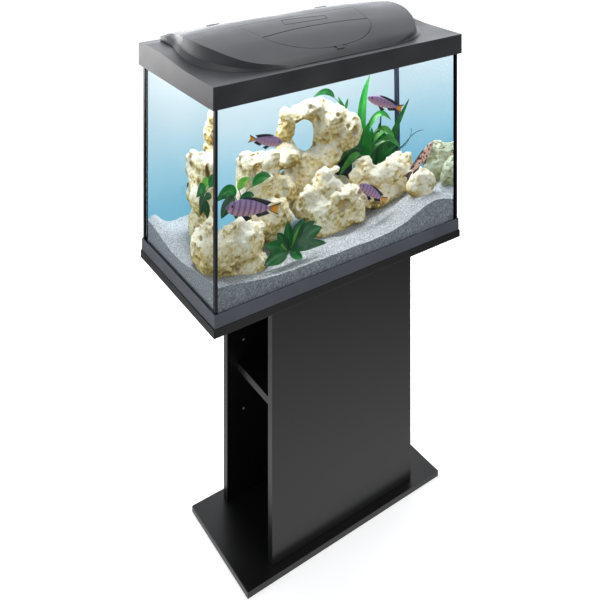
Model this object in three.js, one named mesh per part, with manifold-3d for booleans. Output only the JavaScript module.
// Hooded glass aquarium on a two-panel stand, with its light, internal filter, heater and aquascape.
// Millimetres. +X is the viewer's right, +Y is the back, +Z is up. The origin is on the floor under
// the centre of the tank.
import * as THREE from 'three';
import { mergeVertices } from 'three/addons/utils/BufferGeometryUtils.js';
import Module from 'manifold-3d';

const wasm = await Module();
wasm.setup();

// ---------------------------------------------------------------- driving dimensions
const GAP = 0.3;                    // clearance between separate pieces

// stand
const BOARD_T = 16;                 // melamine uprights and shelf
const BASE_T = 12;
const TOP_T = 15;
const STAND_X = 32;                 // the column and base sit right of the tank's centre
const STAND_Y = -8;                 // and a little forward of it
const BASE_W = 487;
const BASE_D = 233;
const COLUMN_W = 356.5;               // width of the two upright panels
const COLUMN_D = 196;             // outside to outside over the two panels
const TOP_W = 606;
const TOP_D = 328;
const TOP_Z = 555;                  // top face of the stand
const SHELF_INSET = 25;             // the shelf's ends lie inside the panels' edges
const SHELF_TOP_Z = 297;
const PIN_ROWS_Z = [193, 278.4, 340.5];
const PIN_INSET = 40;               // shelf pin holes, from the panels' side edges
const PIN_R = 2.5;
const PIN_DEPTH = 8;

// tank
const GLASS_W = 597;
const GLASS_D = 320;
const GLASS_T = 5;
const FLOOR_GLASS_T = 6;
const GLASS_TOP_Z = 972;
const TRIM_H = 25;
const TRIM_T = 2.2;
const TRIM_LIP = 14;
const BEAD = 7;                     // leg of the silicone bead in the two rear corners
const FRONT_BEAD = 1.5;             // and in the two front ones
const FILM_Y = 147.5;               // front face of the blue backdrop; the cables rise behind it
const FILM_T = 0.6;

// hood
const HOOD_W = 612;
const HOOD_D = 333;
const HOOD_WALL = 2.5;
const BAND_BOTTOM_Z = 943;
const LEDGE_FRONT_Z = 985;          // ledge height at the front
const LEDGE_REAR_Z = 993.5;         // the ledge rises in a soft S towards the back
const LEDGE_EDGE_Z = 988.5;         // and rounds down at the rear edge
const DOME_REAR = 312;              // the dome's rear wall, from the hood's front edge
const LID_SEAM_Y = 30.5;            // the lid's rear edge and hinge line
const PANEL_REAR_Y = 26.5;
const PANEL_HALF_W = 149;
const FLAP_HINGE_Y = -52.5;
const FLAP_HALF_W = 134;
const FLAP_FRONT_Y = -128;
const FLAP_BOW = 12;                // the flap's rear edge bows backwards by this much in its middle
const FLAP_PIN_R = 1.1;
const FLAP_BARREL_R = 2.2;
const FLAP_PIN_DEPTH = 3;           // the pin's axis under the dome's surface
const FLAP_SEAM = 2.2;              // gap behind the flap's rear edge, which dips as the flap opens
const FINGER_NOTCH_W = 30;
const REBATE_W = 5;
const REBATE_T = 1.6;

// filter, heater and light
const FILTER_X = 88;
const FILTER_Z = 612;
const FILTER_W = 88;
const FILTER_D = 46;
const FILTER_H = 92;
const CUP_H = 9;                    // depth of the suction cup that holds the filter
const HEATER_Y = 133;
const HEATER_Z = 668;
const HEATER_R = 10;
const CABLE_R = 2;
const CABLE_NOTCH_X = 235;
const LIGHT_Y = 92;
const LIGHT_W = 500;
const LIGHT_D = 52;

const SEGMENTS = 16;                // facets round a small round piece

// ---------------------------------------------------------------- derived levels
const topBoardZ = TOP_Z - TOP_T;
const panelZ0 = BASE_T + GAP;
const panelZ1 = topBoardZ - GAP;
const frontPanelY = STAND_Y - COLUMN_D / 2;
const rearPanelY = STAND_Y + COLUMN_D / 2 - BOARD_T;
const trimZ = TOP_Z + GAP;
const floorGlassZ = trimZ + 2 + GAP;
const glassZ = floorGlassZ + FLOOR_GLASS_T + GAP;
const insideX = GLASS_W / 2 - GLASS_T;
const insideY = GLASS_D / 2 - GLASS_T;
const filterY = FILM_Y - CUP_H - 2 * GAP - FILTER_D / 2;

// ---------------------------------------------------------------- materials
const material = (color, roughness, metalness = 0) =>
  new THREE.MeshStandardMaterial({ color, roughness, metalness });
const clearGlass = () => {
  const glass = material(0xd6e8ee, 0.05);
  glass.transparent = true;
  glass.opacity = 0.3;
  return glass;
};
const anthracite = () => material(0x4b4c51, 0.5);
const blackBoard = () => material(0x232324, 0.45);
const trimPlastic = () => material(0x59606a, 0.5);
const silicone = () => material(0x0c1024, 0.35);
const blackPlastic = () => material(0x17181a, 0.45);
const cableSkin = () => material(0x141414, 0.6);
const steel = () => material(0xb9bcc0, 0.3, 1);
const limestone = () => material(0xdccfa4, 0.9);
const leafGreen = () => material(0x1f7a2c, 0.5);

// ---------------------------------------------------------------- geometry helpers
function toSolid(geometry) {
  const bare = geometry.clone();
  bare.deleteAttribute('normal');
  bare.deleteAttribute('uv');
  const merged = mergeVertices(bare, 1e-4);
  return new wasm.Manifold(new wasm.Mesh({
    numProp: 3,
    vertProperties: new Float32Array(merged.attributes.position.array),
    triVerts: new Uint32Array(merged.index.array),
  }));
}

function toGeometry(solid) {
  const mesh = solid.getMesh();
  const geometry = new THREE.BufferGeometry();
  geometry.setAttribute('position', new THREE.BufferAttribute(mesh.vertProperties, 3));
  geometry.setIndex(new THREE.BufferAttribute(mesh.triVerts, 1));
  geometry.computeVertexNormals();
  return geometry;
}

function largestBody(solid) {
  return solid.decompose().reduce((best, piece) => (piece.volume() > best.volume() ? piece : best));
}

function box(x0, x1, y0, y1, z0, z1) {
  const geometry = new THREE.BoxGeometry(x1 - x0, y1 - y0, z1 - z0);
  geometry.translate((x0 + x1) / 2, (y0 + y1) / 2, (z0 + z1) / 2);
  return geometry;
}

const boxSolid = (...limits) => toSolid(box(...limits));

function cylinder(axis, radius, centre, length, segments = SEGMENTS, endRadius = radius) {
  const geometry = new THREE.CylinderGeometry(endRadius, radius, length, segments);
  if (axis === 'x') geometry.rotateZ(-Math.PI / 2);
  if (axis === 'z') geometry.rotateX(Math.PI / 2);
  geometry.translate(...centre);
  return geometry;
}

const cylinderSolid = (...values) => toSolid(cylinder(...values));

function shapeOf(points) {
  return new THREE.Shape(points.map(([u, v]) => new THREE.Vector2(u, v)));
}

// a plan outline, extruded upwards from z0 to z1
function plate(shape, z0, z1, curveSegments = 6) {
  const geometry = new THREE.ExtrudeGeometry(shape, { depth: z1 - z0, bevelEnabled: false, curveSegments });
  geometry.translate(0, 0, z0);
  return geometry;
}

// a side outline of [y, z] points, extruded along X
function profileAlongX(points, x0, x1) {
  const geometry = new THREE.ExtrudeGeometry(shapeOf(points), { depth: x1 - x0, bevelEnabled: false });
  geometry.rotateX(Math.PI / 2);
  geometry.rotateZ(Math.PI / 2);
  geometry.translate(x0, 0, 0);
  return geometry;
}

function ringPlate(width, depth, wall, z0, z1) {
  const outline = shapeOf([[-width / 2, -depth / 2], [width / 2, -depth / 2],
    [width / 2, depth / 2], [-width / 2, depth / 2]]);
  const [w, d] = [width / 2 - wall, depth / 2 - wall];
  outline.holes.push(new THREE.Path([[-w, -d], [-w, d], [w, d], [w, -d]].map(([x, y]) => new THREE.Vector2(x, y))));
  return plate(outline, z0, z1);
}

// a round bar or tube along a smooth path through the given points
function sweep(points, radius, { sides = 7, steps = 24, bore = 0 } = {}) {
  const path = new THREE.CatmullRomCurve3(points.map((p) => new THREE.Vector3(...p)), false, 'centripetal');
  const ring = new THREE.Shape();
  ring.absarc(0, 0, radius, 0, 2 * Math.PI, false);
  if (bore > 0) {
    const hole = new THREE.Path();
    hole.absarc(0, 0, bore, 0, 2 * Math.PI, true);
    ring.holes.push(hole);
  }
  return new THREE.ExtrudeGeometry(ring, { steps, extrudePath: path, bevelEnabled: false,
    curveSegments: Math.ceil(sides / 2) });
}

function lathe(profile, segments = SEGMENTS) {
  return new THREE.LatheGeometry(profile.map(([r, z]) => new THREE.Vector2(r, z)), segments);
}

// a closed solid under a grid of top points: rows run along Y, columns along X
function groundedGrid(rows, bottomZ) {
  const [nv, nu] = [rows.length, rows[0].length];
  const positions = [];
  rows.flat().forEach((p) => positions.push(...p));
  rows.flat().forEach(([x, y]) => positions.push(x, y, bottomZ));
  const low = nu * nv;
  const index = [];
  const quad = (a, b, c, d) => index.push(a, b, c, a, c, d);
  for (let j = 0; j < nv - 1; j += 1) {
    for (let i = 0; i < nu - 1; i += 1) {
      const a = j * nu + i;
      quad(a, a + 1, a + nu + 1, a + nu);
      quad(low + a, low + a + nu, low + a + nu + 1, low + a + 1);
    }
  }
  for (let i = 0; i < nu - 1; i += 1) {
    quad(i + 1, i, low + i, low + i + 1);
    const back = (nv - 1) * nu + i;
    quad(back, back + 1, low + back + 1, low + back);
  }
  for (let j = 0; j < nv - 1; j += 1) {
    const left = j * nu;
    quad(left, left + nu, low + left + nu, low + left);
    const right = left + nu - 1;
    quad(right + nu, right, low + right, low + right + nu);
  }
  const geometry = new THREE.BufferGeometry();
  geometry.setAttribute('position', new THREE.Float32BufferAttribute(positions, 3));
  geometry.setIndex(index);
  return geometry;
}

// value of a smooth curve through [at, value] points
function smoothCurve(points) {
  const curve = new THREE.SplineCurve(points.map(([at, value]) => new THREE.Vector2(at, value)));
  const samples = curve.getPoints(80);
  return (at) => {
    const next = samples.findIndex((s) => s.x >= at);
    if (next <= 0) return next < 0 ? samples[80].y : samples[0].y;
    const [a, b] = [samples[next - 1], samples[next]];
    return THREE.MathUtils.mapLinear(at, a.x, b.x, a.y, b.y);
  };
}

// ---------------------------------------------------------------- the assembly
const aquarium = new THREE.Group();

function add(name, shape, finish) {
  const geometry = shape.isBufferGeometry ? shape : toGeometry(shape);
  const mesh = new THREE.Mesh(geometry, finish);
  mesh.name = name;
  aquarium.add(mesh);
  return mesh;
}

// ---------------------------------------------------------------- stand
const pinX = (side) => STAND_X + side * (COLUMN_W / 2 - PIN_INSET);

function board(x, y, width, depth, z0, z1) {
  return box(x - width / 2, x + width / 2, y - depth / 2, y + depth / 2, z0, z1);
}

function upright(y0, innerY, drillSign) {
  let panel = boxSolid(STAND_X - COLUMN_W / 2, STAND_X + COLUMN_W / 2, y0, y0 + BOARD_T, panelZ0, panelZ1);
  for (const side of [-1, 1]) {
    for (const z of PIN_ROWS_Z) {
      const centre = [pinX(side), innerY - drillSign * PIN_DEPTH / 2, z];
      panel = panel.subtract(cylinderSolid('y', PIN_R + GAP, centre, PIN_DEPTH + GAP, 10));
    }
  }
  return panel;
}

function addStand() {
  add('stand_base_board', board(STAND_X, STAND_Y, BASE_W, BASE_D, 0, BASE_T), blackBoard());
  add('stand_top_board', board(0, 0, TOP_W, TOP_D, topBoardZ, TOP_Z), blackBoard());
  const frontInnerY = frontPanelY + BOARD_T;
  add('stand_front_panel', upright(frontPanelY, frontInnerY, 1), blackBoard());
  add('stand_rear_panel', upright(rearPanelY, rearPanelY, -1), blackBoard());
  const shelfHalf = COLUMN_W / 2 - SHELF_INSET;
  add('stand_shelf', box(STAND_X - shelfHalf, STAND_X + shelfHalf, frontInnerY + GAP, rearPanelY - GAP,
    SHELF_TOP_Z - BOARD_T, SHELF_TOP_Z), blackBoard());
  for (const [face, y, out] of [['front', frontInnerY, 1], ['rear', rearPanelY, -1]]) {
    for (const [side, sign] of [['left', -1], ['right', 1]]) {
      const length = 2 * PIN_DEPTH - 1;
      const pinZ = Math.min(PIN_ROWS_Z[1] - 0.2, SHELF_TOP_Z - BOARD_T - GAP - PIN_R);
      add(`shelf_pin_${face}_${side}`, cylinder('y', PIN_R, [pinX(sign), y + out * 0.3, pinZ], length, 10), steel());
    }
  }
}

// ---------------------------------------------------------------- tank
function addTank() {
  let trim = toSolid(ringPlate(GLASS_W + 2 * (GAP + TRIM_T), GLASS_D + 2 * (GAP + TRIM_T), TRIM_T, trimZ, trimZ + TRIM_H));
  trim = trim.add(toSolid(ringPlate(GLASS_W + 2 * GAP + TRIM_T, GLASS_D + 2 * GAP + TRIM_T, TRIM_LIP, trimZ, trimZ + 2)));
  add('bottom_trim', trim, trimPlastic());
  const [w, d] = [GLASS_W / 2, GLASS_D / 2];
  add('glass_floor', box(-w, w, -d, d, floorGlassZ, floorGlassZ + FLOOR_GLASS_T), clearGlass());
  add('glass_front', box(-w, w, -d, -d + GLASS_T, glassZ, GLASS_TOP_Z), clearGlass());
  add('glass_back', box(-w, w, d - GLASS_T, d, glassZ, GLASS_TOP_Z), clearGlass());
  const sideY = insideY - GAP;
  add('glass_left', box(-w, -insideX, -sideY, sideY, glassZ, GLASS_TOP_Z), clearGlass());
  add('glass_right', box(insideX, w, -sideY, sideY, glassZ, GLASS_TOP_Z), clearGlass());
  for (const [name, sx, sy] of [['front_left', -1, -1], ['front_right', 1, -1], ['back_left', -1, 1], ['back_right', 1, 1]]) {
    add(`seam_${name}`, cornerBead(sx, sy), silicone());
  }
  // the backdrop has a notch at its right edge, just above the sand, where the cables pass behind it
  const filmHalf = insideX - BEAD - 1;
  const film = boxSolid(-filmHalf, filmHalf, FILM_Y, FILM_Y + FILM_T, glassZ + 3, GLASS_TOP_Z - 10);
  add('background_film', film.subtract(boxSolid(CABLE_NOTCH_X, 400, 0, 200, 613, 652)), material(0xa9cfe4, 0.6));
}

// a hollow-faced fillet of silicone in one inside corner
function cornerBead(sx, sy) {
  const corner = [sx * (insideX - GAP), sy * (insideY - GAP)];
  const at = (a, b) => new THREE.Vector2(corner[0] - sx * a, corner[1] - sy * b);
  const leg = sy < 0 ? FRONT_BEAD : BEAD;
  const outline = [at(0, 0), at(leg, 0), at(leg * 0.42, leg * 0.42), at(0, leg)];
  if (sx * sy < 0) outline.reverse();
  return plate(new THREE.Shape(outline), glassZ + GAP, GLASS_TOP_Z - 1);
}

// ---------------------------------------------------------------- hood
const frontY = -HOOD_D / 2;
const ledgeHeight = (y) => {
  const rise = THREE.MathUtils.smoothstep(y, frontY + 100, frontY + 235);
  const roundOff = THREE.MathUtils.smoothstep(y, frontY + 290, frontY + HOOD_D);
  return LEDGE_FRONT_Z + (LEDGE_REAR_Z - LEDGE_FRONT_Z) * rise - (LEDGE_REAR_Z - LEDGE_EDGE_Z) * roundOff;
};

// distances from the hood's front edge: half-width of the dome's foot and of its crisp upper edge, the height of
// that edge, and how far the middle of the dome rises over it
const footHalf = smoothCurve([[15, 128], [20, 150], [26, 175], [37, 208], [58, 238], [100, 269], [134, 279],
  [167, 281.5], [211, 277], [240, 271], [280, 268], [DOME_REAR, 267]]);
const crestHalf = smoothCurve([[15, 120], [20, 140], [26, 163], [35, 192], [50, 214], [70, 231], [90, 243], [110, 252],
  [130, 260], [150, 265], [190, 269], [210, 268], [230, 264], [250, 259], [280, 253], [DOME_REAR, 250]]);
const crestZ = smoothCurve([[15, 986], [20, 989.5], [26, 993.5], [35, 998.5], [50, 1003.2], [70, 1009], [90, 1014],
  [110, 1018], [130, 1021], [150, 1023.5], [170, 1025], [190, 1025], [210, 1023.5], [230, 1020.5], [250, 1016],
  [270, 1012], [290, 1008.5], [DOME_REAR, 1003.5]]);
const crownRise = smoothCurve([[15, 0.4], [50, 1], [100, 1.6], [150, 2.4], [190, 4], [210, 5.2], [230, 6.5], [250, 7],
  [270, 5.5], [290, 3.5], [DOME_REAR, 2.2]]);
const DOME_STATIONS = [15, 17.5, 20, 23, 26, 30, 35, 41, 48, 56, 64, 74, 84, 95, 106, 118, 130, 143, 156, 170, 184, 197,
  210, 221, 232, 242, 252, 261, 270, 278, 286, 293, 300, DOME_REAR];
const CROWN_COLUMNS = [-1, -0.86, -0.62, -0.3, 0, 0.3, 0.62, 0.86, 1];

function domeTop(x, fromFront) {
  const across = Math.min(1, Math.abs(x) / crestHalf(fromFront));
  return crestZ(fromFront) + crownRise(fromFront) * (1 - across ** 4);
}

// towards the back the dome's hollow ends flare into level shoulders with an upright outer edge
const shoulderRise = (fromFront) => 0.4 + 9.6 * THREE.MathUtils.smoothstep(fromFront, 225, 296);

// the dome as a solid block, drawn in by `inset` for its inside
function domeBlock(inset, bottomZ) {
  const rows = DOME_STATIONS.map((station, j) => {
    const last = DOME_STATIONS.length - 1;
    let y = station;
    if (j === 0) y += inset;
    if (j === last) y -= inset;
    const foot = footHalf(station) - inset;
    const crest = Math.min(crestHalf(station) - inset, foot - 2);
    const ledge = ledgeHeight(frontY + station);
    const edgeZ = Math.max(crestZ(station), ledge + 0.6) - inset;
    const shoulderZ = Math.min(ledge + shoulderRise(station), edgeZ + inset - 0.2) - inset;
    const coveX = crest + 0.35 * (foot - crest);
    const coveZ = THREE.MathUtils.lerp(edgeZ, shoulderZ, 0.7);
    const row = [[-foot, frontY + y, ledge - inset], [-foot + 0.4, frontY + y, shoulderZ], [-coveX, frontY + y, coveZ]];
    for (const c of CROWN_COLUMNS) {
      const z = Math.max(domeTop(c * crestHalf(station), station), ledge + 0.6) - inset;
      row.push([c * crest, frontY + y, z]);
    }
    row.push([coveX, frontY + y, coveZ], [foot - 0.4, frontY + y, shoulderZ], [foot, frontY + y, ledge - inset]);
    return row;
  });
  return toSolid(groundedGrid(rows, bottomZ));
}

function belowLedge(lift) {
  const stations = [-5, 60, 100, 125, 150, 170, 190, 210, 235, 290, 305, 320, HOOD_D + 5];
  const points = stations.map((s) => [frontY + s, ledgeHeight(frontY + s) + lift]);
  points.push([frontY + HOOD_D + 5, 900], [frontY - 5, 900]);
  return points;
}

function frameOutline(inset) {
  const stations = [0, 60, 100, 125, 150, 170, 190, 210, 235, 290, 305, 320, HOOD_D];
  const inside = (s) => THREE.MathUtils.clamp(s, inset, HOOD_D - inset);
  const points = stations.map((s) => [frontY + inside(s), ledgeHeight(frontY + s) - inset]);
  const bottom = BAND_BOTTOM_Z - (inset > 0 ? 5 : 0);
  points.push([frontY + HOOD_D - inset, bottom], [frontY + inset, bottom]);
  return points;
}

// plan outline of the opening under the dome
function domeOpening(margin) {
  const stations = [34, 58, 101, 154, 228, 270, 296];
  const right = stations.map((s) => [footHalf(s) - margin, frontY + s]);
  const left = right.map(([x, y]) => [-x, y]).reverse();
  return shapeOf([...right, ...left]);
}

// how far back the seam between flap and access panel lies at x
const seamY = (x) => FLAP_HINGE_Y + 1 + FLAP_BOW * (1 - (x / FLAP_HALF_W) ** 2);

// the bowed seam as points from x0 to x1, shifted in y
function seamPoints(x0, x1, shift) {
  const points = [];
  for (let i = 0; i <= 8; i += 1) {
    const x = THREE.MathUtils.lerp(x0, x1, i / 8);
    points.push([x, seamY(Math.min(Math.abs(x), FLAP_HALF_W)) + shift]);
  }
  return points;
}

// plan outline of the feeding flap: a shallow bow at its hinge and a deep one in front
function flapOutline(grow) {
  const w = FLAP_HALF_W + grow;
  const hingeEdge = seamPoints(w, -w, grow > 0 ? FLAP_SEAM : 0);
  const front = FLAP_FRONT_Y - grow;
  const shape = new THREE.Shape();
  shape.moveTo(...hingeEdge[0]);
  hingeEdge.slice(1).forEach(([x, y]) => shape.lineTo(x, y));
  shape.bezierCurveTo(-w + 4, -72, -118 - grow, -86 - grow, -94 - grow, -104 - grow);
  shape.bezierCurveTo(-70, -121 - grow, -40, front, 0, front);
  shape.bezierCurveTo(40, front, 70, -121 - grow, 94 + grow, -104 - grow);
  shape.bezierCurveTo(118 + grow, -86 - grow, w - 4, -72, ...hingeEdge[0]);
  return shape;
}

// plan outline of the access panel behind the flap: its sides spread a little towards the lid's seam
function accessOutline(grow) {
  const front = FLAP_HALF_W + grow;
  const rear = PANEL_HALF_W + grow;
  const back = PANEL_REAR_Y + grow;
  const corner = 9;
  const shape = new THREE.Shape();
  const frontEdge = seamPoints(-front, front, FLAP_SEAM - grow);
  shape.moveTo(...frontEdge[0]);
  frontEdge.slice(1).forEach(([x, y]) => shape.lineTo(x, y));
  shape.lineTo(rear, back - corner);
  shape.quadraticCurveTo(rear + 1, back, rear - corner, back);
  shape.lineTo(-rear + corner, back);
  shape.quadraticCurveTo(-rear - 1, back, -rear, back - corner);
  return shape;
}

const flapPinZ = domeTop(FLAP_HALF_W, FLAP_HINGE_Y - frontY) - FLAP_PIN_DEPTH;

function addHood() {
  // band and ledge, resting on the glass rim on four corner blocks
  let frame = toSolid(profileAlongX(frameOutline(0), -HOOD_W / 2, HOOD_W / 2));
  frame = frame.subtract(toSolid(profileAlongX(frameOutline(HOOD_WALL), -HOOD_W / 2 + HOOD_WALL, HOOD_W / 2 - HOOD_WALL)));
  frame = frame.subtract(toSolid(plate(domeOpening(9), 970, 1010)));
  for (const sx of [-1, 1]) {
    for (const sy of [-1, 1]) {
      const [x, y] = [sx * (HOOD_W / 2 - 1), sy * (HOOD_D / 2 - 1)];
      const [xi, yi] = [sx * (insideX - 8), sy * (insideY - 8)];
      frame = frame.add(boxSolid(Math.min(x, xi), Math.max(x, xi), Math.min(y, yi), Math.max(y, yi),
        GLASS_TOP_Z + GAP, LEDGE_FRONT_Z - 1));
    }
  }
  // open notch for the filter and heater cables, and a hole for the light's cable
  frame = frame.subtract(boxSolid(254, 276, HOOD_D / 2 - 8, HOOD_D / 2 + 5, BAND_BOTTOM_Z - 5, 980.5));
  frame = frame.subtract(cylinderSolid('y', 3, [220, HOOD_D / 2, 978], 12, 10));
  add('hood_frame', frame, anthracite());

  const shell = domeBlock(0, 960).subtract(domeBlock(HOOD_WALL, 940)).subtract(
    toSolid(profileAlongX(belowLedge(GAP + 0.1), -320, 320)));
  const ahead = boxSolid(-320, 320, -200, LID_SEAM_Y - 0.5, 930, 1060);
  const behind = boxSolid(-320, 320, LID_SEAM_Y + 0.5, 200, 930, 1060);
  add('hood_rear_cover', largestBody(shell.intersect(behind)), anthracite());

  // the lid, with an opening for the flap and one for the access panel, and the pin's two bearings
  let lid = shell.intersect(ahead);
  lid = lid.subtract(toSolid(plate(flapOutline(0.8), 960, 1060)));
  lid = lid.subtract(toSolid(plate(accessOutline(0.4), 960, 1060)));
  lid = lid.subtract(boxSolid(-FINGER_NOTCH_W / 2, FINGER_NOTCH_W / 2, FLAP_FRONT_Y - 4.5, FLAP_FRONT_Y + 5, 960, 1060));
  const pinEnd = FLAP_HALF_W + 10;
  for (const side of [-1, 1]) {
    const [x0, x1] = [side * (FLAP_HALF_W + 2.5), side * pinEnd];
    const boss = boxSolid(Math.min(x0, x1), Math.max(x0, x1), FLAP_HINGE_Y - 4, FLAP_HINGE_Y + 3, flapPinZ - 4,
      flapPinZ + 4);
    lid = lid.add(boss.intersect(domeBlock(0.2, 960)).subtract(toSolid(plate(accessOutline(0.4), 960, 1060))));
  }
  // narrow rebates carry the access panel on three sides and the flap's curved front edge
  const rebate = domeBlock(HOOD_WALL + GAP, 900).subtract(domeBlock(HOOD_WALL + GAP + REBATE_T, 880));
  const bridge = domeBlock(0.6, 900).subtract(domeBlock(HOOD_WALL + REBATE_T - 0.2, 880));
  for (const [outline, margin, y0, y1] of [[accessOutline, 0.4, FLAP_HINGE_Y + FLAP_BOW + 16, LID_SEAM_Y - 0.5],
    [flapOutline, 0.8, frontY, FLAP_HINGE_Y - 24]]) {
    const reach = toSolid(plate(outline(REBATE_W), 960, 1060)).intersect(boxSolid(-400, 400, y0, y1, 900, 1100));
    const ledge = rebate.intersect(reach).subtract(toSolid(plate(outline(-REBATE_W), 960, 1060)));
    lid = lid.add(ledge).add(bridge.intersect(reach).subtract(toSolid(plate(outline(margin), 960, 1060))));
  }
  lid = lid.subtract(cylinderSolid('x', FLAP_PIN_R + 0.25, [0, FLAP_HINGE_Y, flapPinZ], 2 * pinEnd - 3, 10));
  add('hood_lid', largestBody(lid), anthracite());

  const access = shell.intersect(toSolid(plate(accessOutline(0), 960, 1060)));
  add('access_panel', largestBody(access), anthracite());

  // flap with two hinge barrels under it that turn on the pin
  let flap = shell.intersect(toSolid(plate(flapOutline(0), 960, 1060)));
  for (const x of [-90, 90]) {
    const barrel = cylinderSolid('x', FLAP_BARREL_R, [x, FLAP_HINGE_Y, flapPinZ], 26, 12);
    const rib = boxSolid(x - 13, x + 13, FLAP_HINGE_Y - 2, FLAP_HINGE_Y + 2, flapPinZ, flapPinZ + 3);
    flap = flap.add(barrel).add(rib.intersect(domeBlock(0.5, 900)));
  }
  flap = flap.subtract(cylinderSolid('x', FLAP_PIN_R + 0.25, [0, FLAP_HINGE_Y, flapPinZ], 400, 10));
  add('feeding_flap', largestBody(flap), anthracite());
  add('flap_hinge_pin', cylinder('x', FLAP_PIN_R, [0, FLAP_HINGE_Y, flapPinZ], 2 * pinEnd - 4, 8), steel());

  for (const [side, x] of [['left', -148], ['right', 140]]) {
    add(`rear_clip_${side}`, rearClip(x), anthracite());
  }
}

// a low rounded catch on the dome's rear shoulder
function rearClip(x) {
  const y = frontY + 303;
  const catchBody = toSolid(profileAlongX([[y - 9, 998], [y + 8, 998], [y + 8, 1006], [y + 4, 1009.5], [y - 4, 1011.5],
    [y - 9, 1011]], x - 13, x + 13));
  return largestBody(catchBody.subtract(domeBlock(-GAP, 900)));
}

// ---------------------------------------------------------------- light
function addLight() {
  const x = LIGHT_W / 2;
  const [y0, y1] = [LIGHT_Y - LIGHT_D / 2, LIGHT_Y + LIGHT_D / 2];
  const top = 996;
  const bottom = 976;
  const housing = boxSolid(-x, x, y0, y1, bottom, top).subtract(
    boxSolid(-x + 2, x - 2, y0 + 2, y1 - 2, bottom - 1, top - 2));
  add('light_housing', housing, material(0xe4e5e6, 0.4));
  add('led_board', ledBoard(x - 12, top - 2 - GAP), material(0xe9ecdf, 0.5));
  const diffuser = boxSolid(-x + 2 + GAP, x - 2 - GAP, y0 + 2 + GAP, y1 - 2 - GAP, bottom, bottom + 6).subtract(
    boxSolid(-x + 5, x - 5, y0 + 5, y1 - 5, bottom + 2, bottom + 7));
  add('light_diffuser', diffuser, material(0xf2f6fa, 0.3));
  for (const [side, sign] of [['left', -1], ['right', 1]]) {
    const bx = sign * (x - 40);
    const strap = boxSolid(bx - 8, bx + 8, LIGHT_Y - 2, LIGHT_Y + 2, top + GAP, 1014).add(
      boxSolid(bx - 8, bx + 8, LIGHT_Y - 20, LIGHT_Y + 20, top + GAP, top + 3));
    add(`light_bracket_${side}`, strap.subtract(domeOuterAir()), anthracite());
  }
  add('light_cable', sweep([[x + GAP, LIGHT_Y + 8, 986], [x + 6, LIGHT_Y + 8, 986], [x + 8, LIGHT_Y + 24, 985],
    [x - 8, LIGHT_Y + 44, 981], [220, 152, 978], [220, 165, 978]], 1.8, { steps: 24 }), cableSkin());
}

function ledBoard(half, top) {
  let strip = boxSolid(-half, half, LIGHT_Y - 12, LIGHT_Y + 12, top - 2, top);
  const count = 12;
  for (let i = 0; i < count; i += 1) {
    const x = THREE.MathUtils.lerp(-half + 15, half - 15, i / (count - 1));
    strip = strip.add(boxSolid(x - 3, x + 3, LIGHT_Y - 3, LIGHT_Y + 3, top - 3.2, top - 1));
  }
  return strip;
}

// everything above a surface just under the dome's inside face
function domeOuterAir() {
  return boxSolid(-320, 320, -200, 200, 985, 1080).subtract(domeBlock(HOOD_WALL + GAP, 900));
}

// ---------------------------------------------------------------- internal filter
const chamberX = FILTER_X - 22;     // pump side
const basketX = FILTER_X + 20;      // cartridge side
const filterTopZ = FILTER_Z + FILTER_H;

function addFilter() {
  const [x0, x1] = [FILTER_X - FILTER_W / 2, FILTER_X + FILTER_W / 2];
  const [y0, y1] = [filterY - FILTER_D / 2, filterY + FILTER_D / 2];
  const divide = FILTER_X - 1;
  let body = boxSolid(x0, x1, y0, y1, FILTER_Z, filterTopZ);
  body = body.subtract(boxSolid(x0 + 2, divide - 1, y0 + 2, y1 - 2, FILTER_Z + 2, filterTopZ + 1));
  body = body.subtract(boxSolid(divide + 1, x1 - 2, y0 + 2, y1 - 2, FILTER_Z + 2, filterTopZ + 1));
  for (let i = 0; i < 5; i += 1) {
    const z = FILTER_Z + 14 + i * 14;
    body = body.subtract(boxSolid(divide + 6, x1 - 6, y0 - 1, y0 + 3, z, z + 4));
  }
  // water passes from the cartridge to the pump low in the divider
  body = body.subtract(boxSolid(divide - 3, divide + 3, filterY - 12, filterY + 12, FILTER_Z + 2, FILTER_Z + 12));
  add('filter_body', body, blackPlastic());
  add('filter_cartridge', box(divide + 1 + GAP, x1 - 2 - GAP, y0 + 2 + GAP, y1 - 2 - GAP, FILTER_Z + 2 + GAP,
    filterTopZ - 3), material(0x27486b, 0.95));

  const headZ = FILTER_Z + 24;
  let head = boxSolid(x0 + 2 + GAP, divide - 1 - GAP, y0 + 2 + GAP, y1 - 2 - GAP, headZ, filterTopZ + 6);
  head = head.subtract(cylinderSolid('z', 11, [chamberX, filterY, headZ + 13], 28));
  head = head.subtract(cylinderSolid('z', 1.3, [chamberX, filterY, headZ + 30], 10, 10));
  head = head.subtract(cylinderSolid('z', 4, [chamberX, filterY - 9, headZ + 50], 60, 12));
  head = head.subtract(cylinderSolid('z', 2.2, [chamberX + 9, filterY + 12, filterTopZ + 4], 10, 10));
  add('pump_head', head, blackPlastic());
  add('impeller_shaft', cylinder('z', 1, [chamberX, filterY, headZ + 18], 32, 10), material(0xe8e6df, 0.2));
  add('impeller', impeller(headZ), material(0x2d2f33, 0.4));

  add('outlet_nozzle', sweep([[chamberX, filterY - 9, filterTopZ + 6 + GAP], [chamberX, filterY - 9, filterTopZ + 12],
    [chamberX - 11, filterY - 9, filterTopZ + 18], [chamberX - 23, filterY - 9, filterTopZ + 18]], 6,
  { sides: 12, steps: 10, bore: 4 }), blackPlastic());
  add('flow_knob', flowKnob(), material(0x3a7fb0, 0.45));
  const cup = lathe([[0, 0], [3, 0], [3, 4], [12, CUP_H - 0.5], [12, CUP_H], [0, 6.5]]);
  cup.translate(FILTER_X, y1 + GAP, FILTER_Z + 74);
  add('suction_cup', cup, material(0x202224, 0.3));
}

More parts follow.
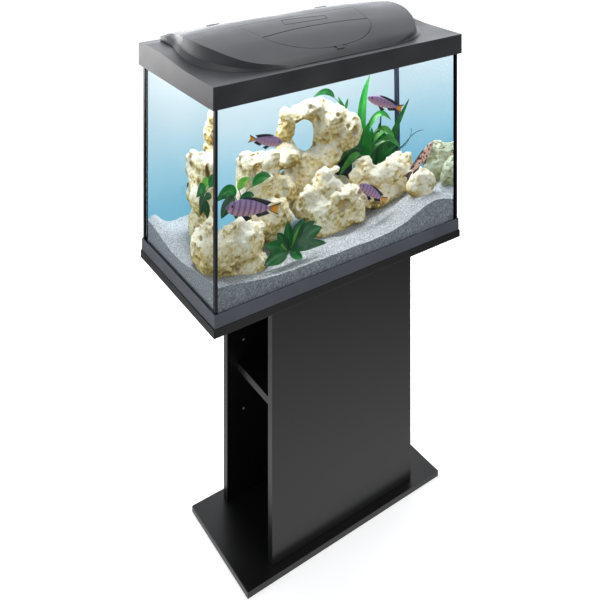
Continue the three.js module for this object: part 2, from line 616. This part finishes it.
function impeller(headZ) {
  let rotor = cylinderSolid('z', 6, [chamberX, filterY, headZ + 17], 14, 14);
  for (let i = 0; i < 4; i += 1) {
    const blade = box(-9.5, 9.5, -0.8, 0.8, headZ + 3, headZ + 11);
    blade.rotateZ(i * Math.PI / 4);
    blade.translate(chamberX, filterY, 0);
    rotor = rotor.add(toSolid(blade));
  }
  return rotor.subtract(cylinderSolid('z', 1.4, [chamberX, filterY, headZ + 15], 40, 10));
}

function flowKnob() {
  const centre = [chamberX + 9, filterY + 12];
  let knob = cylinderSolid('z', 6, [...centre, filterTopZ + 9.8], 7, 14);
  knob = knob.add(cylinderSolid('z', 1.8, [...centre, filterTopZ + 3.5], 8, 10));
  return knob.add(boxSolid(centre[0] - 5, centre[0] + 5, centre[1] - 1, centre[1] + 1, filterTopZ + 12, filterTopZ + 15.5));
}

// ---------------------------------------------------------------- heater
const heaterX0 = -126;
const heaterX1 = 4;
const heaterCapX = heaterX1 + 26;

function addHeater() {
  // a glass tube, closed at its left end, with the cap plugged into its open end
  const length = heaterX1 - heaterX0;
  const tube = lathe([[0, 0], [6, 1], [HEATER_R - 1, 4], [HEATER_R, 8], [HEATER_R, length], [HEATER_R - 1.2, length],
    [HEATER_R - 1.2, 8.5], [0, 5]]);
  tube.rotateZ(-Math.PI / 2);
  tube.translate(heaterX0, HEATER_Y, HEATER_Z);
  add('heater_tube', tube, clearGlass());
  const cap = lathe([[0, -14], [HEATER_R - 1.6, -14], [HEATER_R - 1.6, GAP], [HEATER_R + 1.5, GAP], [HEATER_R + 1.5, 22],
    [HEATER_R - 1, 26], [0, 26]]);
  cap.rotateZ(-Math.PI / 2);
  cap.translate(heaterX1, HEATER_Y, HEATER_Z);
  add('heater_cap', cap, blackPlastic());
  const dial = toSolid(cylinder('x', 7, [heaterCapX + GAP + 4, HEATER_Y, HEATER_Z], 8, 14)).add(
    boxSolid(heaterCapX + GAP + 6, heaterCapX + GAP + 11, HEATER_Y - 1.2, HEATER_Y + 1.2, HEATER_Z - 6, HEATER_Z + 6));
  add('heater_dial', dial, material(0xb03a2e, 0.45));
  // a ring round the tube on a foot that sticks to the backdrop
  const ringX = -70;
  let clip = cylinderSolid('x', HEATER_R + 2.6, [ringX, HEATER_Y, HEATER_Z], 14, 20);
  clip = clip.add(boxSolid(ringX - 7, ringX + 7, HEATER_Y, FILM_Y - GAP, HEATER_Z - 7, HEATER_Z + 7));
  clip = clip.subtract(cylinderSolid('x', HEATER_R + GAP, [ringX, HEATER_Y, HEATER_Z], 20, 20));
  add('heater_clip', clip, blackPlastic());
}

// ---------------------------------------------------------------- cables
// both run low along the backdrop, pass behind it through its notch, rise, and leave by the notch in the hood's band
function cable(start, x, low) {
  const ahead = FILM_Y - CABLE_R - 2 * GAP;
  const behind = FILM_Y + FILM_T + CABLE_R + 0.4;
  const rimZ = GLASS_TOP_Z + CABLE_R + 3;
  const run = [[150, ahead, low], [200, ahead, low], [x - 24, ahead, low], [x - 10, (ahead + behind) / 2, low],
    [x - 2, behind, low + 3], [x, behind + 0.2, low + 12], [x, behind, low + 40], [x, behind, 800], [x, behind, 966], [x, behind, GLASS_TOP_Z + 1],
    [x, behind + 2.5, rimZ], [x, behind + 5.5, rimZ + 0.3], [x, HOOD_D / 2 - 0.5, rimZ]];
  return sweep([...start, ...run], CABLE_R, { steps: 72 });
}

function addCables() {
  const ahead = FILM_Y - CABLE_R - 2 * GAP;
  const capX = heaterX1 + 12;
  const capUnder = HEATER_Z - HEATER_R - 1.5 - GAP;
  const heaterStart = [[capX, HEATER_Y, capUnder], [capX, HEATER_Y + 0.4, capUnder - 5], [capX + 6, HEATER_Y + 6, capUnder - 14],
    [capX + 16, ahead, 630], [capX + 36, ahead, 621], [100, ahead, 619]];
  add('heater_cable', cable(heaterStart, 270, 619), cableSkin());
  const headTop = filterTopZ + 6 + GAP;
  const pumpStart = [[chamberX - 8, filterY + 14, headTop], [chamberX - 8, filterY + 14.5, headTop + 6],
    [chamberX - 9, filterY + 22, headTop + 11], [chamberX - 9, ahead - 1.2, headTop + 4], [chamberX - 8, ahead - 0.4, headTop - 20],
    [chamberX - 6, ahead, 660], [chamberX + 8, ahead, 636], [chamberX + 40, ahead, 629]];
  add('pump_cable', cable(pumpStart, 261, 629), cableSkin());
}

// ---------------------------------------------------------------- sand, stones and plants
function sandHeight(x, y) {
  const hill = (cx, cy, rx, ry) => Math.exp(-(((x - cx) / rx) ** 2) - ((y - cy) / ry) ** 2);
  return 600 + 22 * hill(-300, -150, 95, 110) + 34 * hill(238, -130, 80, 170) + 10 * hill(-60, -40, 150, 90)
    + 8 * hill(30, 150, 200, 90);
}

function sandBlock(lift, bottomZ) {
  const [w, d] = [insideX - GAP, FILM_Y - GAP];
  const rows = [];
  for (let j = 0; j <= 8; j += 1) {
    const y = THREE.MathUtils.lerp(-insideY + GAP, d, j / 8);
    const row = [];
    for (let i = 0; i <= 16; i += 1) {
      const x = THREE.MathUtils.lerp(-w, w, i / 16);
      row.push([x, y, sandHeight(x, y) + lift]);
    }
    rows.push(row);
  }
  return toSolid(groundedGrid(rows, bottomZ));
}

// a lumpy ball: an icosahedron pushed in and out by smooth waves
function lump(centre, radii, seed, scale = 1) {
  const geometry = new THREE.IcosahedronGeometry(1, 3);
  geometry.deleteAttribute('normal');
  geometry.deleteAttribute('uv');
  const merged = mergeVertices(geometry, 1e-4);
  const p = merged.attributes.position;
  for (let i = 0; i < p.count; i += 1) {
    const v = new THREE.Vector3().fromBufferAttribute(p, i);
    const wave = Math.sin(3.1 * v.x + seed) * Math.cos(2.7 * v.y - seed) + 0.7 * Math.sin(4.3 * v.z + 2 * seed + v.x);
    v.multiplyScalar((1 + 0.09 * wave) * scale);
    p.setXYZ(i, centre[0] + v.x * radii[0], centre[1] + v.y * radii[1], centre[2] + v.z * radii[2]);
  }
  return toSolid(merged);
}

const STONES = [
  { name: 'stone_arch', centre: [34, 66, 720], radii: [92, 38, 118], seed: 0.4, tunnel: [[6, 66, 776], [24, 90, 30]] },
  { name: 'stone_front_left', centre: [-226, -78, 652], radii: [58, 54, 56], seed: 1.7 },
  { name: 'stone_mid_left', centre: [-128, 22, 704], radii: [60, 46, 70], seed: 2.9, tunnel: [[-128, 22, 730], [14, 90, 16]] },
  { name: 'stone_centre', centre: [22, -28, 652], radii: [74, 46, 66], seed: 3.3 },
  { name: 'stone_right_front', centre: [138, -14, 636], radii: [60, 44, 58], seed: 4.6 },
  { name: 'stone_right_back', centre: [226, 58, 630], radii: [58, 46, 44], seed: 5.2 },
];

// a plant as the flared bundle its leaves fill
function plantBundle(profile, centre, squeeze) {
  const bundle = lathe(profile, 10);
  bundle.rotateX(Math.PI / 2);
  bundle.scale(1, squeeze, 1);
  bundle.translate(...centre);
  return toSolid(bundle);
}

const PLANTS = [
  { name: 'plant_tall', centre: [214, 112, 636], squeeze: 0.32, profile: [[0, 0], [16, 0], [30, 60], [70, 130], [46, 214], [0, 226]] },
  { name: 'plant_front', centre: [-104, -112, 606], squeeze: 0.42, profile: [[0, 0], [12, 0], [44, 22], [66, 40], [42, 62], [0, 66]] },
  { name: 'plant_left', centre: [-246, 6, 604], squeeze: 0.7, profile: [[0, 0], [10, 0], [16, 70], [36, 118], [30, 152], [0, 158]] },
  { name: 'plant_back', centre: [-24, 128, 612], squeeze: 0.24, profile: [[0, 0], [10, 0], [14, 120], [40, 214], [34, 236], [0, 240]] },
];

function addAquascape() {
  let sand = sandBlock(0, glassZ + GAP);
  const [cx, cy] = [insideX - BEAD - 1, insideY - BEAD - 1];
  for (const [x0, x1] of [[-400, -cx], [cx, 400]]) {
    for (const [y0, y1] of [[-400, -cy], [cy, 400]]) sand = sand.subtract(boxSolid(x0, x1, y0, y1, 500, 700));
  }
  add('sand_bed', sand, material(0xc6c8cc, 0.95));
  const overSand = sandBlock(GAP + 0.1, 500);
  const placed = [];
  const equipment = [
    boxSolid(FILTER_X - FILTER_W / 2 - 5, FILTER_X + FILTER_W / 2 + 1, filterY - FILTER_D / 2 - 1, 200, FILTER_Z - 1,
      filterTopZ + 30),
    boxSolid(FILTER_X, FILTER_X + FILTER_W / 2, filterY - FILTER_D / 2 - 1, 200, filterTopZ, filterTopZ + 96),
    boxSolid(heaterX0 - 2, heaterCapX + 14, HEATER_Y - HEATER_R - 4, 200, HEATER_Z - 14, HEATER_Z + 20),
    boxSolid(-400, 400, FILM_Y - 2 * CABLE_R - 2, 200, 500, 1000),
    boxSolid(insideX - 0.5, 400, -200, 200, 500, 1000),
    boxSolid(-400, -insideX + 0.5, -200, 200, 500, 1000),
  ];
  for (const { name, centre, radii, seed, tunnel } of STONES) {
    let stone = lump(centre, radii, seed);
    if (tunnel) stone = stone.subtract(lump(tunnel[0], tunnel[1], seed));
    for (const other of [overSand, ...placed, ...equipment]) stone = stone.subtract(other);
    placed.push(lump(centre, radii, seed, 1.014));
    add(name, largestBody(stone), limestone());
  }
  for (const { name, centre, squeeze, profile } of PLANTS) {
    let plant = plantBundle(profile, centre, squeeze);
    for (const other of [overSand, ...placed, ...equipment]) plant = plant.subtract(other);
    placed.push(plant);
    add(name, largestBody(plant), leafGreen());
  }
}

addStand();
addTank();
addHood();
addLight();
addFilter();
addHeater();
addCables();
addAquascape();

export default aquarium;
